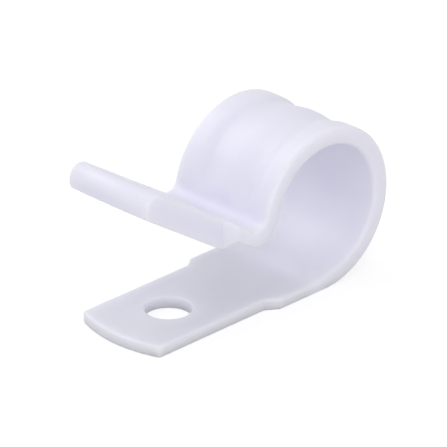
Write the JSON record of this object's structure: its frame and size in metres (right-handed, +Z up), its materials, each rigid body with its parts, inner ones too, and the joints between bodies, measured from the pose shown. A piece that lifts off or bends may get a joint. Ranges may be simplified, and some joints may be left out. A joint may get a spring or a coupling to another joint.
{
  "type": "p clip",
  "caption": "One-piece moulded plastic P clip shown open: a grooved round loop for a cable bundle, a flat lower screw tab and a thicker upper screw tab.",
  "frame": {"origin": "the middle of the lower screw hole, on the flat underside that meets the panel", "axes": "+X out along the lower tab away from the loop, Y along the axis of the loop, +Z up from the panel"},
  "size_m": [0.0393, 0.015, 0.0214],
  "materials": {
    "clip": "natural milky nylon, satin, slightly translucent"
  },
  "bodies": {
    "root": {"clip": "clip"}
  },
  "joints": []
}
